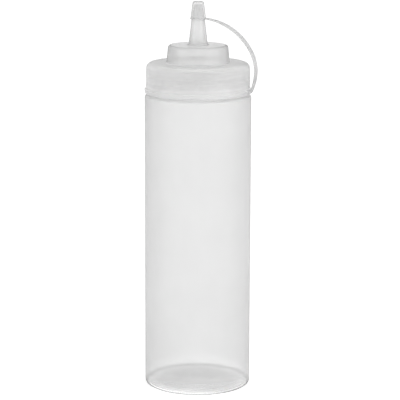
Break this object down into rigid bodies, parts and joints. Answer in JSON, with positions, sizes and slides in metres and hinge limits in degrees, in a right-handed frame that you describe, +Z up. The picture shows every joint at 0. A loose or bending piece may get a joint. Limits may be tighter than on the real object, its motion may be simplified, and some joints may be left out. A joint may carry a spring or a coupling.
{
  "type": "squeeze bottle",
  "caption": "Frosted plastic condiment squeeze bottle with a wide screw cap, a tapered spout and a tip cap on a strap.",
  "frame": {"origin": "centre of the ring that the bottle stands on, in the plane of the table", "axes": "+Z up along the bottle's axis, towards the spout; +X towards the strap of the tip cap; the front is the -Y side"},
  "size_m": [0.0746, 0.07, 0.2555],
  "materials": {
    "bottle_plastic": "natural low-density polyethylene, blow-moulded, milky and translucent, satin",
    "cap_plastic": "natural polyethylene, injection-moulded, milky and translucent, satin",
    "strap_plastic": "natural polyethylene, injection-moulded, soft and translucent, satin",
    "ring_rubber": "white silicone rubber, matt"
  },
  "bodies": {
    "bottle": {"bottle": "bottle_plastic"},
    "sealing_ring": {"sealing_ring": "ring_rubber"},
    "screw_cap": {"screw_cap": "cap_plastic"},
    "strap": {"strap_lower": "strap_plastic"},
    "tip_cap": {"strap_upper": "strap_plastic", "tip_cap": "strap_plastic"}
  },
  "joints": [
    {"name": "cap_lift", "type": "slide", "parent": "bottle", "child": "sealing_ring", "axis": [0, 0, 1], "range_m": [0, 0.018]},
    {"name": "cap_turn", "type": "hinge", "parent": "sealing_ring", "child": "screw_cap", "pos_m": [0, 0, 0.2], "axis": [0, 0, 1], "range_deg": [0, 1620]},
    {"name": "strap_root", "type": "hinge", "parent": "screw_cap", "child": "strap", "pos_m": [0.0358, 0, 0.1976], "axis": [0, 1, 0], "range_deg": [-16.2, 0]},
    {"name": "tip_cap_bend", "type": "hinge", "parent": "strap", "child": "tip_cap", "pos_m": [0.02621, 0, 0.23639], "axis": [0, 1, 0], "range_deg": [0, 85]}
  ],
  "couplings": [
    {"joint": "cap_lift", "follows": "cap_turn", "m_per_rad": 0.00063662},
    {"joint": "strap_root", "follows": "tip_cap_bend", "ratio": -0.19}
  ]
}
